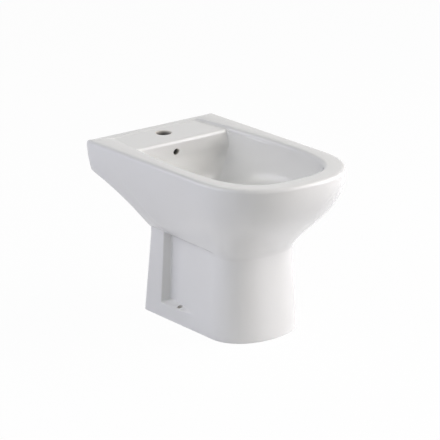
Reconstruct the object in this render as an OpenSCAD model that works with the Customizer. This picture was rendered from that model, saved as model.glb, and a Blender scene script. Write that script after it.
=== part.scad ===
// Floor-standing bidet with one tap hole: a glazed vitreous china body and its click-clack waste.
// Millimetres. The floor is z = 0, the front is -Y, the back is +Y and the body is centred on x = 0.
// The china is one closed skin, lofted through rings of plan outlines: up inside the pedestal,
// over the hollow between the two shells, down the outside, over the rim and into the basin.

/* [Body] */
// Greatest width, just under the rim
body_w = 367; // [330:1:420]
// Length from the front of the rim to the back edge
body_l = 585; // [520:1:660]
// Height of the side rims above the floor
body_h = 394; // [360:1:440]
// Thickness of the fired clay, measured level
wall_t = 12; // [9:0.5:15]
// How square the front of the rim is in plan, 2 is an ellipse
rim_square = 2.34; // [2:0.02:3]
// Length of the curved front of the rim
rim_front_l = 172; // [140:1:200]
// Radius of the two back corners
back_corner_r = 18; // [12:1:30]

/* [Rim] */
// Fillet on the outside of the rim
rim_outer_r = 9; // [5:0.5:12]
// Fillet on the inside of the rim
rim_inner_r = 9; // [5:0.5:12]
// Width of the rim beside the basin
rim_side_w = 38.5; // [32:0.5:46]
// Width of the rim at the front
rim_front_w = 51; // [42:0.5:60]
// Width of the rim beside the deck
rim_deck_w = 61; // [54:0.5:68]
// How far the strip behind the deck lies below the side rims
strip_drop = 4; // [0:0.5:5]

/* [Deck] */
// Distance from the back edge to the front lip of the deck
deck_l = 132; // [118:1:150]
// Distance from the back edge to the deck's own back edge
deck_border = 29; // [22:1:36]
// Depth of the deck below the side rims
deck_drop = 5.5; // [4:0.5:8]
// Thickness of the deck
deck_t = 14; // [10:0.5:18]
// Radius of the deck's front lip
lip_r = 7; // [4:0.5:9]
// Diameter of the tap hole
tap_hole_d = 35; // [32:0.5:38]
// Distance from the back edge to the middle of the tap hole
tap_hole_back = 60.5; // [52:0.5:70]

/* [Basin] */
// Depth of the basin below the rim
basin_depth = 138; // [125:1:145]
// How square the basin's section is, 2 is an ellipse
basin_square = 2.6; // [2:0.05:3]
// How square the section is under the deck
back_square = 5; // [4:0.1:6]
// How far the wall under the deck bows back at its middle
wall_bow = 22; // [0:1:28]
// How far the ends of that wall stand in front of the lip
wall_end_fwd = 9; // [0:1:14]
// Distance of the waste behind the middle of the body
waste_y = 20; // [0:1:40]
// Diameter of the overflow hole
overflow_d = 15; // [12:0.5:20]
// Distance of the overflow hole from the middle of the wall
overflow_x = -13; // [-20:1:20]
// Depth of the overflow hole below the rim
overflow_drop = 34; // [30:1:50]
// Diameter of the overflow's duct inside the clay
duct_d = 11; // [8:0.5:12]

/* [Pedestal] */
// Width of the pedestal at the floor
foot_w = 224.5; // [200:1:250]
// Front of the pedestal at the floor
foot_front = 172; // [150:1:190]
// Back of the pedestal at the floor
foot_back = 166.5; // [150:1:190]
// Width of the pedestal at its neck
neck_w = 202; // [180:1:225]
// Front of the neck
neck_front = 147; // [130:1:170]
// Back of the neck
neck_back = 153.5; // [140:1:175]
// Height of the neck
neck_z = 190; // [170:1:205]
// Length of the curved front of the foot
foot_front_l = 88; // [70:1:110]
// Height at which the underside reaches the back face
back_edge_z = 319; // [300:1:340]

/* [Side pockets] */
// Length of the flange behind each pocket
flange_l = 57; // [40:1:70]
// Distance of a pocket's side wall from the middle
pocket_x = 87; // [80:1:95]
// Height of the foot under each pocket
pocket_floor = 33; // [24:1:45]
// Height of a pocket's roof at its back
pocket_roof = 185; // [160:1:190]
// How much the roof rises towards the front
pocket_rise = 11; // [0:1:14]
// Diameter of the floor fixing holes
fixing_d = 11; // [8:0.5:14]
// Distance between the two fixing holes
fixing_gap = 200; // [190:1:206]
// Distance of the fixing holes behind the middle of the body
fixing_y = 44; // [20:1:80]

/* [Service opening] */
// Width of the opening in the back of the pedestal
opening_w = 128; // [90:1:150]
// Height of that opening
opening_h = 285; // [230:1:300]
// Radius of its upper corners
opening_r = 40; // [15:1:45]

/* [Waste] */
// Diameter of the waste's tail, for a 1 1/4 pipe thread
tail_d = 41.9; // [38:0.1:45]
// Length of the waste below its flange
tail_l = 92; // [75:1:110]
// Length of the thread at the end of the tail, which the trap's nut takes
trap_thread_l = 32; // [20:1:34]
// Wall of the waste's tube
tube_t = 2; // [1.5:0.1:3]
// Diameter of the waste's flange
flange_d = 63; // [58:0.5:66]
// Thickness of the waste's flange
flange_t = 3; // [2:0.25:4]
// Depth of the recess that the flange sits in
seat_drop = 4; // [3:0.25:6]
// Gap between the waste's tail and the hole in the clay
drain_gap = 2.05; // [1.5:0.05:4]
// Thickness of the clay round the hole
boss_t = 30; // [26:1:34]
// Thickness of the seal under the flange
upper_seal_t = 1.5; // [1:0.25:3]
// Height of the seal under the clay
lower_seal_t = 8; // [6:0.5:12]
// Thickness of the slip washer
washer_t = 2; // [1:0.25:3]
// Height of the back nut
nut_h = 12; // [8:0.5:16]
// Width of the back nut across its flats
nut_flats = 56; // [52:1:62]

/* [Plug] */
// Diameter of the plug's cap
cap_d = 61; // [56:0.5:64]
// Travel of the plug from shut to open
plug_travel = 9; // [6:0.5:10]
// Outer diameter of the latch cartridge
latch_d = 18; // [16:0.5:20]
// Wall of the latch cartridge
latch_t = 1.8; // [1.2:0.1:2.4]
// Diameter of the plug's stem
stem_d = 6; // [5:0.25:7]
// Height of the spring when the plug is shut
spring_h = 10; // [9:0.5:13]
// Diameter of the spring's wire
spring_wire = 1; // [0.8:0.1:1.2]
// Turns of the spring
spring_turns = 4; // [3:1:5]

/* [Hidden] */

// Stations round half a ring, counted from the middle of the back
n_back = 7;
n_corner = 5;
n_deck = 6;
n_side = 9;
n_front = 13;
j_back = n_back;
j_corner = j_back + n_corner;
j_deck = j_corner + n_deck;
j_side = j_deck + n_side;
j_end = j_side + n_front;

half_w = body_w / 2;
half_l = body_l / 2;
rim_side_z = body_h - rim_outer_r;
rim_turn_y = rim_front_l - half_l;
foot_turn_y = foot_front_l - foot_front;
foot_square = 2.19;
foot_corner_r = 10;
foot_edge_r = 2;
deck_z = body_h - deck_drop;
deck_front_y = half_l - deck_l;
deck_half_w = half_w - rim_deck_w;
tap_hole_y = half_l - tap_hole_back;

// Outward growth of the sides and of the back between the neck and the rim
side_start = 1.19;
side_end = 1.89;
back_start = 2.54;
back_end = 1.05;

// ---- Plan outlines ------------------------------------------------------------------------------

function mix(a, b, t) = a + (b - a) * t;
function clamp01(t) = min(max(t, 0), 1);
function smooth(a, b, v) = let (t = clamp01((v - a) / (b - a))) t * t * (3 - 2 * t);

// One point of half a plan outline. wb is the half width at the back corner, w at the widest,
// yb the back, rc the corner radius, ya the end of the deck's side, ys where the front turns,
// yf the front and n how square the front is.
function outline_point(j, w, wb, yb, rc, ya, ys, yf, n) =
  j <= j_back ? [(wb - rc) * sin(90 * j / n_back), yb]
  : j <= j_corner ? let (a = 90 * (j - j_back) / n_corner)
    [wb - rc + rc * sin(a), yb - rc + rc * cos(a)]
  : j <= j_side ? let (
      y = j <= j_deck ? mix(yb - rc, ya, (j - j_corner) / n_deck)
        : mix(ya, ys, side_step(j)),
      t = (yb - rc - y) / (yb - rc - ys))
    [wb + (w - wb) * sin(90 * t), y]
  : let (a = 90 * (j - j_side) / n_front)
    [w * pow(cos(a), 2 / n), ys - (ys - yf) * pow(sin(a), 2 / n)];

// Share of the way from the deck to the front curve, with closer steps beside the deck
function side_step(j) = let (t = (j - j_deck) / n_side) 0.35 * t + 0.65 * t * t;

// Closes half a ring of [x, y, z] points into a whole one
function whole_ring(half) = concat(half,
  [for (j = [j_end - 1 : -1 : 1]) [-half[j][0], half[j][1], half[j][2]]]);

// How much a station belongs to the deck: 1 behind and beside it, 0 along the basin
function deck_share(j) = j <= j_deck ? 1 : 0;

// ---- Outer skin ---------------------------------------------------------------------------------

// Share of the way out from the neck to the rim at height z
function side_share(z) = let (t = clamp01((z - neck_z) / (rim_side_z - neck_z)))
  1 - pow(1 - pow(t, side_start), side_end);
function back_share(z) = let (t = clamp01((z - neck_z) / (back_edge_z - neck_z)))
  1 - pow(1 - pow(t, back_start), back_end);
function foot_share(z) = clamp01(1 - z / neck_z);

function skin_w(z) = z < neck_z ? mix(neck_w, foot_w, foot_share(z)) / 2
  : mix(neck_w / 2, half_w, side_share(z));
function skin_front(z) = z < neck_z ? mix(neck_front, foot_front, foot_share(z))
  : mix(neck_front, half_l, side_share(z));
function skin_back(z) = z < neck_z ? mix(neck_back, foot_back, foot_share(z))
  : mix(neck_back, half_l, back_share(z));

// The pockets: each is a recess between the flange at the back and the round front.
// The stations beside the deck carry the flange, its edge and the pocket's back wall.
edge_r = 3;
corner_r = 4;
wall_slant = 3;
flange_front_y = neck_back - flange_l + 3;
// Station by station: how deep the pocket is, as steps from the flange to the side wall
function pocket_steps(depth) = [0, 0, 0, min(edge_r / depth, 1), max(1 - corner_r / depth, 0),
  max(1 - 0.3 * corner_r / depth, 0), 1];
function pocket_reach(y, grow) = [y + flange_l * 0.6, y + flange_l * 0.3, y + edge_r, y, y - wall_slant,
  y - wall_slant - 0.3 * corner_r, y - wall_slant - corner_r - grow];
function pocket_top(j) = pocket_roof + pocket_rise * side_step(min(max(j, j_deck), j_side));
// How far the pocket is open at station j and height z
function pocket_open(j, z) = let (
    front = smooth(0.3, 0.6, side_step(max(j, j_deck))),
    low = mix(smooth(pocket_floor, pocket_floor + 8, z), smooth(0, 2 * pocket_floor, z), front),
    high = 1 - smooth(pocket_top(j) - 1, pocket_top(j) + 5, z))
  low * high;

// A point of the skin at station j and height z, moved in by inset. open says how far the
// pocket is open there and shift moves its back wall back.
function skin_point(j, z, inset, open, shift) = let (
    w = skin_w(z) - inset,
    yb = skin_back(z) - inset,
    s = side_share(z),
    rc = max(mix(foot_corner_r, back_corner_r, s) - inset, 3),
    ys = mix(foot_turn_y, rim_turn_y, s),
    yf = inset - skin_front(z),
    n = mix(foot_square, rim_square, s),
    flange_y = mix(flange_front_y, deck_front_y + 4, back_share(z)) + shift,
    depth = max(w - pocket_x + inset, 1),
    p = outline_point(j, w, w, yb, rc, flange_y - wall_slant - corner_r, ys, yf, n))
  j <= j_corner || j > j_side ? p
  : j <= j_deck ? let (m = j - j_corner, top = yb - rc, reach = pocket_reach(flange_y, 0))
    [w - depth * open * pocket_steps(depth)[m],
      m == 0 ? top : m == 1 ? mix(top, flange_y + edge_r, 0.5) : reach[m]]
  : [w - depth * open * (1 - side_step(j)), p[1]];

// ---- Rim, deck and basin ------------------------------------------------------------------------

// Height of the top of the rim at station j: the strip behind the deck lies lower
function rim_z(j) = body_h - strip_drop * (1 - smooth(j_back - 0.5, j_corner, j));

// Plan of the basin's top edge, grown outwards by g
wall_corner_r = 4;
basin_turn_y = -36;
function basin_edge(j, g) = outline_point(j, half_w - rim_side_w + g, deck_half_w + g,
  half_l - deck_border + g, 10 + g, deck_front_y + lip_r - wall_corner_r - 1, basin_turn_y,
  rim_front_w - half_l - g, 2.9);

// Plan of the basin at height z for the shell's inside (g = 0) or its outside (g > 0)
wall_half_w = mix(deck_half_w, half_w - rim_side_w, 0.25);
function basin_point(j, z, g) = let (
    d = clamp01((body_h - z) / (basin_depth + g)),
    r = pow(1 - pow(d, basin_square), 1 / basin_square),
    m = g > 0 ? 0.88 * back_square : back_square,
    r_back = pow(1 - pow(d, m), 1 / m),
    bow = g > 0 ? 1 : smooth(lip_r, lip_r + 30, deck_z - z),
    w = (half_w - rim_side_w + g) * r,
    wb = (wall_half_w + g) * r,
    yb = waste_y + (deck_front_y - wall_end_fwd * bow + g - waste_y) * r_back,
    yf = waste_y + (rim_front_w - half_l - g - waste_y) * r,
    ys = waste_y + (basin_turn_y - waste_y) * r,
    rc = wall_corner_r + g * 0.5,
    p = outline_point(j, w, wb, yb, rc, yb - rc - 1, ys, yf, 2.9),
    out = wall_bow * bow * (1 - pow(d, 3)) * (1 - pow(min(abs(p[0]) / max(wb, 1), 1), 4)))
  j <= j_corner ? [p[0], p[1] + out] : p;

// Plan of the deck's front lip, moved back by o
function lip_point(j, o) = outline_point(j, half_w - rim_side_w, wall_half_w, deck_front_y + o,
  wall_corner_r, deck_front_y + o - wall_corner_r - 1, basin_turn_y, rim_front_w - half_l, 2.9);

// Height at basin angle a, 0 at the rim and 90 at the floor
function basin_z(a, g) = body_h - (basin_depth + g) * pow(sin(a), 2 / basin_square);

basin_floor_z = body_h - basin_depth;
last_wall_a = 70;
seat_r = flange_d / 2 + 1;
seat_rim_r = seat_r + 3;
waste_at = [0, waste_y];
drain_d = tail_d + 2 * drain_gap;

// Draws a plan point towards a circle of radius r round the waste, t = 1 on the circle
function to_circle(p, r, t) = let (v = p - waste_at) mix(p, waste_at + v * r / norm(v), t);

// ---- Rings, in order from the middle of the pedestal's roof to the middle of the basin -----------

// The clay is thicker along the middle of the back, round the overflow's duct
duct_depth = duct_d / 2 + 0.7 * wall_t;
function shell_t(j) = mix(duct_depth + duct_d / 2 + 0.5 * wall_t, wall_t, smooth(1, 2, j));
function roof_z(j) = basin_floor_z - shell_t(j);
boss_r = drain_d / 2 + 15;
boss_z = basin_floor_z - seat_drop - boss_t;
ceiling_side_z = body_h - 40;
ceiling_deck_z = deck_z - deck_t;
function ceiling_z(j) = mix(ceiling_side_z, ceiling_deck_z, deck_share(j));
skin_t = wall_t + 1.5;
shell_angles = [66, 54, 43, 33, 24, 15];

function ring_at(f) = [for (j = [0 : j_end]) f(j)];

hollow_rings = concat(
  // The waste's boss and the roof round it
  [for (b = [[0, boss_z], [3, boss_z + 3], [5, 0], [14, 0]]) ring_at(function (j)
    concat(to_circle(basin_point(j, basin_z(78, wall_t), wall_t), boss_r + b[0], 1),
      b[1] > 0 ? b[1] : roof_z(j)))],
  // Outside of the basin's shell, upwards
  [for (a = shell_angles) ring_at(function (j) let (z = basin_z(a, shell_t(j)))
    concat(basin_point(j, z, shell_t(j)), z))],
  [ring_at(function (j) let (z = ceiling_z(j) - 5) concat(basin_point(j, z, shell_t(j)), z))],
  // Ceiling under the rim and the deck
  [for (t = [0.08, 0.92]) ring_at(function (j) let (z = ceiling_z(j))
    concat(mix(basin_point(j, z, shell_t(j)), skin_point(j, z, skin_t, 0, 0), t), z))],
  // Inside of the outer skin, downwards
  [for (t = [0 : 5]) ring_at(function (j) let (z = mix(ceiling_z(j) - 5, neck_z + 34, t / 5))
    concat(skin_point(j, z, skin_t, 0, 0), z))],
  [for (s = [[26, 0.35], [16, 1]]) ring_at(function (j) let (z = neck_z + s[0])
    concat(skin_point(j, z - 12, skin_t, s[1], wall_t), z))],
  [for (z = [neck_z - 10, neck_z / 2, 0]) ring_at(function (j)
    concat(skin_point(j, z, wall_t, 1, wall_t), z))]
);

outer_rings = concat(
  [ring_at(function (j) concat(skin_point(j, 0, foot_edge_r, 0, 0), 0))],
  [for (z = [foot_edge_r, 0.5 * pocket_floor, pocket_floor, pocket_floor + 2.5, pocket_floor + 5.5,
      pocket_floor + 8, 60, 90, 125, 160])
    ring_at(function (j) concat(skin_point(j, z, 0, pocket_open(j, z), 0), z))],
  [for (u = [-1.5, 2, 5]) ring_at(function (j) let (z = pocket_top(j) + u)
    concat(skin_point(j, z, 0, pocket_open(j, z), 0), z))],
  [for (t = [1 : 15]) ring_at(function (j)
    let (z = mix(pocket_top(j) + 5, rim_side_z, t / 15 + 0.06 * sin(180 * t / 15)))
    concat(skin_point(j, z, 0, 0, 0), z))],
  [for (a = [22.5 : 22.5 : 90]) ring_at(function (j) let (
      in = rim_outer_r * (1 - cos(a)),
      top = rim_z(j) - rim_side_z)
    concat(skin_point(j, rim_side_z, in, 0, 0), rim_side_z + top * sin(a)))]
);

basin_rings = concat(
  // Inner fillet of the rim, which is the low step round the deck at the back
  [for (a = [0 : 22.5 : 90]) ring_at(function (j) let (
      d = deck_share(j),
      g = mix(rim_inner_r * (1 - sin(a)), 0.8 * rim_inner_r * (1 - a / 90), d),
      z_rim = rim_z(j) - rim_inner_r * (1 - cos(a)),
      z_deck = mix(rim_z(j), deck_z, smooth(0, 90, a)))
    concat(basin_edge(j, g), mix(z_rim, z_deck, d)))],
  // Lip of the deck, and the top of the basin's wall beside it
  [for (a = [0 : 30 : 90]) ring_at(function (j) let (
      d = deck_share(j),
      z_basin = mix(body_h - rim_inner_r, deck_z - lip_r, (a + 30) / 120),
      lip = lip_point(j, lip_r * (1 - sin(a))),
      basin = mix(basin_edge(j, 0), basin_point(j, deck_z - lip_r, 0), (a + 30) / 120),
      z_lip = deck_z - lip_r * (1 - cos(a)))
    concat(mix(basin, lip, d), mix(z_basin, z_lip, d)))],
  [for (i = [1 : 3]) ring_at(function (j) let (z = deck_z - lip_r - 0.08 * basin_depth * i)
    concat(basin_point(j, z, 0), z))],
  [for (a = [31 : 6.5 : last_wall_a]) ring_at(function (j) let (z = basin_z(a, 0))
    concat(basin_point(j, z, 0), z))],
  // Floor of the basin, falling to the waste's seat
  [for (t = [0.35, 0.7, 1]) ring_at(function (j) let (
      z = basin_z(last_wall_a, 0),
      p = to_circle(basin_point(j, z, 0), seat_rim_r, t))
    concat(p, mix(z, basin_floor_z, sin(90 * t))))]
);

skin_rings = [for (r = concat(hollow_rings, outer_rings, basin_rings)) whole_ring(r)];

module china_skin() {
  count = len(skin_rings);
  around = 2 * j_end;
  polyhedron(
    points = [for (r = skin_rings) for (p = r) p],
    faces = concat(
      [[for (j = [around - 1 : -1 : 0]) j]],
      [for (i = [0 : count - 2]) for (j = [0 : around - 1]) let (k = (j + 1) % around)
        for (f = [[i * around + j, (i + 1) * around + k, (i + 1) * around + j],
            [i * around + j, i * around + k, (i + 1) * around + k]]) f],
      [[for (j = [0 : around - 1]) (count - 1) * around + j]]));
}

// ---- Holes in the clay --------------------------------------------------------------------------

// The duct is drilled in straight lengths inside the wall under the deck, between points on an
// arc that follows that wall, and ends level with the slots of the waste
overflow_z = body_h - overflow_drop;
duct_wall_y = deck_front_y - wall_end_fwd + 0.8 * wall_bow;
duct_bend_r = 0.54 * basin_depth;
duct_bend_y = duct_wall_y - duct_bend_r;
duct_bend_z = basin_floor_z + duct_bend_r;
duct_r = duct_bend_r + duct_depth;
duct_lengths = 4;
duct_turn = 90 / duct_lengths;
duct_chord = 2 * duct_r * sin(duct_turn / 2);
duct_overlap = duct_d / 2 * tan(duct_turn / 2);

module overflow_duct() {
  translate([overflow_x, deck_front_y - wall_end_fwd, overflow_z])
    rotate([-90, 0, 0])
      cylinder(h = 0.8 * wall_bow + duct_depth, d = overflow_d);
  translate([overflow_x, duct_bend_y + duct_r, duct_bend_z - 2])
    cylinder(h = overflow_z - duct_bend_z + 4, d = duct_d);
  for (i = [0 : duct_lengths - 1])
    translate([overflow_x, duct_bend_y, duct_bend_z])
      translate([0, duct_r * cos(i * duct_turn), -duct_r * sin(i * duct_turn)])
        rotate([180 - (i + 0.5) * duct_turn, 0, 0])
          translate([0, 0, -duct_overlap])
            cylinder(h = duct_chord + 2 * duct_overlap, d = duct_d - 0.3 * (1 + i % 2));
  translate([overflow_x, waste_y, duct_bend_z - duct_r + 0.4])
    rotate([-90, 0, 0])
      cylinder(h = duct_bend_y - waste_y + duct_overlap, d = duct_d);
}

module service_opening() {
  slope_y = deck_front_y - 12;
  intersection() {
    translate([-opening_w / 2, 0, 0])
      rotate([90, 0, 90])
        linear_extrude(opening_w)
          polygon([[0.7 * neck_back, -1], [0.85 * neck_back, 0.8 * neck_z],
            [0.885 * neck_back, neck_z + 30], [slope_y, neck_z + 55],
            [slope_y + 48, opening_h + 1], [half_l, opening_h + 1], [half_l, -1]]);
    translate([0, half_l, 0])
      rotate([90, 0, 0])
        linear_extrude(half_l)
          union() {
            translate([-opening_w / 2, -1])
              square([opening_w, opening_h - opening_r + 1]);
            translate([opening_r - opening_w / 2, 0])
              square([opening_w - 2 * opening_r, opening_h]);
            for (side = [-1, 1])
              translate([side * (opening_w / 2 - opening_r), opening_h - opening_r])
                circle(r = opening_r);
          }
  }
}

module china_body() {
  color([0.93, 0.93, 0.92])
    difference() {
      china_skin();
      translate([0, waste_y, seat_z])
        cylinder(h = seat_drop + 2, r = seat_r);
      translate([0, waste_y, boss_z - 1])
        cylinder(h = boss_t + 2, d = drain_d);
      translate([0, tap_hole_y, deck_z - deck_t - 2])
        cylinder(h = deck_t + 4, d = tap_hole_d);
      overflow_duct();
      for (side = [-1, 1])
        translate([side * fixing_gap / 2, fixing_y, -1])
          cylinder(h = pocket_floor + 12, d = fixing_d);
      service_opening();
    }
}

// ---- Waste --------------------------------------------------------------------------------------

seat_z = basin_floor_z - seat_drop;
tail_r = tail_d / 2;
flange_z = seat_z + upper_seal_t;
flange_top_z = flange_z + flange_t;
tail_z = flange_z - tail_l;
throat_r = tail_r - tube_t;
tail_neck_z = tail_z + trap_thread_l;
tail_neck_in = 0.7;
slot_w = 14;
slot_top_z = seat_z - 5;
slot_h = 18;
hub_z = flange_z - 37;
hub_h = 8;
hub_r = latch_d / 2 + 3;
spoke_w = 4;
seal_gap = 0.15;
thread_gap = 0.03;

module at_waste(z) {
  translate([0, waste_y, z])
    children();
}

module ring(r_in, r_out, h) {
  rotate_extrude()
    translate([r_in, 0])
      square([r_out - r_in, h]);
}

module waste_body() {
  color([0.78, 0.79, 0.8])
    difference() {
      at_waste(0)
        union() {
          // Flange with a rounded edge, tube and chamfered end in one turned profile, with a
          // plain neck between the trap's thread and the back nut's
          rotate_extrude()
            polygon([[throat_r, tail_z], [tail_r - 1, tail_z], [tail_r, tail_z + 1],
              [tail_r, tail_neck_z], [tail_r - tail_neck_in, tail_neck_z + tail_neck_in],
              [tail_r - tail_neck_in, tail_neck_z + 3], [tail_r, tail_neck_z + 3 + tail_neck_in],
              [tail_r, flange_z],
              [flange_d / 2, flange_z], [flange_d / 2, flange_z + 0.4 * flange_t],
              [flange_d / 2 - 0.3 * flange_t, flange_z + 0.8 * flange_t],
              [flange_d / 2 - flange_t, flange_top_z], [throat_r + 1, flange_top_z],
              [throat_r, flange_top_z - 1]]);
          translate([0, 0, hub_z])
            ring(latch_d / 2, hub_r, hub_h);
          for (a = [0 : 120 : 240])
            rotate([0, 0, a])
              translate([hub_r - 0.6, -spoke_w / 2, hub_z])
                cube([throat_r - hub_r + 1.2, spoke_w, hub_h]);
        }
      // Overflow slots, clear of the spokes
      for (a = [45 : 90 : 315])
        at_waste(slot_top_z - slot_h)
          rotate([0, 0, a])
            translate([throat_r - 2, 0, 0])
              slot_cut();
    }
}

module slot_cut() {
  rotate([0, 90, 0])
    linear_extrude(tube_t + 4)
      union() {
        translate([-slot_h + slot_w / 2, -slot_w / 2])
          square([slot_h - slot_w, slot_w]);
        translate([-slot_w / 2, 0])
          circle(d = slot_w);
        translate([-slot_h + slot_w / 2, 0])
          circle(d = slot_w);
      }
}

module flange_seal() {
  color([0.2, 0.2, 0.21])
    at_waste(seat_z)
      ring(tail_r + seal_gap, flange_d / 2 - 0.5, upper_seal_t);
}

module cone_seal() {
  color([0.2, 0.2, 0.21])
    at_waste(boss_z - lower_seal_t)
      rotate_extrude()
        polygon([[tail_r + seal_gap, 0], [tail_r + 8, 0], [tail_r + 11, 0.4 * lower_seal_t],
          [tail_r + 11, lower_seal_t], [tail_r + seal_gap, lower_seal_t]]);
}

module slip_washer() {
  color([0.85, 0.86, 0.84])
    at_waste(boss_z - lower_seal_t - washer_t)
      ring(tail_r + 0.4, tail_r + 11.5, washer_t);
}

nut_z = boss_z - lower_seal_t - washer_t - nut_h;
module back_nut() {
  color([0.78, 0.79, 0.8])
    at_waste(nut_z)
      difference() {
        union() {
          cylinder(h = nut_h - 2, d = nut_flats / cos(30), $fn = 6);
          translate([0, 0, nut_h - 2])
            cylinder(h = 2, d = nut_flats);
        }
        translate([0, 0, -1])
          cylinder(h = nut_h + 2, r = tail_r + thread_gap);
      }
}

// ---- Latch: a push opens the plug and the next push shuts it --------------------------------------

latch_r = latch_d / 2;
latch_bore_r = latch_r - latch_t;
stem_r = stem_d / 2;
run_gap = 0.05;
latch_cap_t = 3.5;
latch_top_z = flange_z - 2.5;
spigot_h = 1.5;
collar_h = 3;
collar_neck_h = 1.2;
collar_gap = 0.6;
// The collar on the stem stops under the cap's spigot when the plug is open
collar_z = latch_top_z - latch_cap_t - spigot_h - collar_gap - plug_travel - collar_h;
rotor_h = 6;
rotor_z = collar_z - collar_neck_h - rotor_h;
rotor_r = latch_bore_r - 0.8;
rotor_core_r = rotor_r - 0.8;
rotor_teeth = 8;
latch_floor_t = 2.5;
latch_floor_z = rotor_z - spring_h;
latch_z = latch_floor_z - latch_floor_t;
carrier_h = 2.5;
plug_seal_t = 2.5;
cap_skirt_t = 3.55;
plug_seal_r = cap_d / 2 - cap_skirt_t;
carrier_z = flange_top_z + plug_seal_t;
cap_z = carrier_z + carrier_h;
cap_crown = 4;
spring_r = stem_r + 2;

module latch_housing() {
  color([0.9, 0.9, 0.88])
    at_waste(0)
      difference() {
        union() {
          translate([0, 0, latch_z])
            cylinder(h = latch_top_z - latch_cap_t - latch_z, r = latch_r);
          // Shoulder that rests on the hub
          translate([0, 0, hub_z + hub_h])
            cylinder(h = 2.5, r = latch_r + 1.8);
        }
        difference() {
          translate([0, 0, latch_floor_z])
            cylinder(h = latch_top_z - latch_floor_z, r = latch_bore_r);
          // Guide ribs, between which the rotor's teeth slide
          for (i = [0 : rotor_teeth - 1])
            rotate([0, 0, (i + 0.5) * 360 / rotor_teeth])
              translate([latch_bore_r - 0.6, -0.6, rotor_z + rotor_h + 4])
                cube([2, 1.2, latch_top_z - rotor_z]);
        }
        // Drain hole
        translate([0, 0, latch_z - 1])
          cylinder(h = latch_floor_t + 2, d = 4);
      }
}

module latch_cap() {
  color([0.55, 0.57, 0.6])
    at_waste(latch_top_z - latch_cap_t)
      difference() {
        union() {
          cylinder(h = latch_cap_t, r = latch_r + 0.8);
          // Spigot inside the housing
          translate([0, 0, -spigot_h])
            cylinder(h = spigot_h + 0.1, r = latch_bore_r - 0.7);
        }
        translate([0, 0, -2])
          cylinder(h = latch_cap_t + 3, r = stem_r + run_gap);
      }
}

// Wound spring: a wire swept along a helix, shut ends lying flat on both seats
spring_sides = 6;
spring_steps = 10;
function spring_lift(u) = let (flat = 0.5, live = spring_turns - 2 * flat,
    v = u < flat ? 0 : u > spring_turns - flat ? 1 : (u - flat) / live)
  spring_wire / 2 + (spring_h - spring_wire) * v;
function spring_section(u) = [for (q = [0 : spring_sides - 1])
  let (b = 360 * q / spring_sides, r = spring_r + spring_wire / 2 * cos(b))
    [r * cos(360 * u), r * sin(360 * u), spring_lift(u) + spring_wire / 2 * sin(b)]];

module latch_spring() {
  count = spring_turns * spring_steps;
  rows = [for (i = [0 : count]) spring_section(i / spring_steps)];
  color([0.7, 0.71, 0.73])
    at_waste(latch_floor_z)
      polyhedron(
        points = [for (r = rows) for (p = r) p],
        faces = concat(
          [[for (q = [0 : spring_sides - 1]) q]],
          [for (i = [0 : count - 1]) for (q = [0 : spring_sides - 1])
            let (k = (q + 1) % spring_sides, a = i * spring_sides, b = a + spring_sides)
              for (f = [[a + q, b + q, b + k], [a + q, b + k, a + k]]) f],
          [[for (q = [spring_sides - 1 : -1 : 0]) count * spring_sides + q]]));
}

module latch_rotor() {
  color([0.86, 0.5, 0.2])
    at_waste(rotor_z)
      difference() {
        union() {
          cylinder(h = rotor_h, r = rotor_core_r);
          // Teeth with slanted tops, which slide in the gaps between the housing's ribs
          for (i = [0 : rotor_teeth - 1])
            rotate([90, 0, 90 + i * 360 / rotor_teeth])
              translate([0, 0, rotor_core_r - 1])
                linear_extrude(rotor_r - rotor_core_r + 1)
                  polygon([[-0.7, 1], [0.7, 1], [0.7, rotor_h - 1.7], [-0.7, rotor_h - 0.5]]);
        }
        translate([0, 0, -1])
          cylinder(h = rotor_h + 2, r = stem_r + run_gap);
      }
}

module plug_stem() {
  color([0.8, 0.81, 0.82])
    at_waste(0)
      union() {
        translate([0, 0, latch_floor_z + 2.5])
          cylinder(h = cap_z + 2 - latch_floor_z - 2.5, r = stem_r);
        translate([0, 0, collar_z])
          cylinder(h = collar_h, r = latch_bore_r - 1.2);
        translate([0, 0, collar_z - collar_neck_h])
          cylinder(h = collar_neck_h + 0.1, r = stem_r + 0.8);
      }
}

module plug_carrier() {
  color([0.5, 0.52, 0.54])
    at_waste(0)
      difference() {
        union() {
          translate([0, 0, carrier_z])
            cylinder(h = carrier_h, r = plug_seal_r - 1);
          // Skirt inside the seal, and the hub on the stem
          translate([0, 0, flange_top_z + 0.5])
            ring(throat_r, throat_r + 2.5, plug_seal_t);
          translate([0, 0, latch_top_z + 1])
            cylinder(h = carrier_z - latch_top_z, r = stem_r + 3);
          for (a = [0 : 60 : 300])
            rotate([0, 0, a])
              translate([stem_r + 2, -0.75, carrier_z - 2])
                cube([throat_r - stem_r - 1.5, 1.5, 2.5]);
        }
        translate([0, 0, latch_top_z])
          cylinder(h = cap_z - latch_top_z + 1, r = stem_r);
      }
}

module plug_seal() {
  color([0.2, 0.2, 0.21])
    at_waste(flange_top_z)
      ring(throat_r + 2.6, plug_seal_r - seal_gap, plug_seal_t);
}

module plug_cap() {
  crown_r = (pow(cap_d / 2, 2) + pow(cap_crown - 1.2, 2)) / (2 * (cap_crown - 1.2));
  color([0.86, 0.87, 0.88])
    at_waste(cap_z)
      difference() {
        union() {
          intersection() {
            translate([0, 0, cap_crown - crown_r])
              sphere(r = crown_r, $fn = 160);
            cylinder(h = cap_crown + 1, d = cap_d);
          }
          translate([0, 0, -3.5])
            ring(plug_seal_r, cap_d / 2, 3.6);
        }
        translate([0, 0, -1])
          cylinder(h = 3.2, r = stem_r);
      }
}

$fa = 5;
$fs = 0.5;

china_body();
waste_body();
flange_seal();
cone_seal();
slip_washer();
back_nut();
latch_housing();
latch_cap();
latch_spring();
latch_rotor();
plug_stem();
plug_carrier();
plug_seal();
plug_cap();
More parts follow.
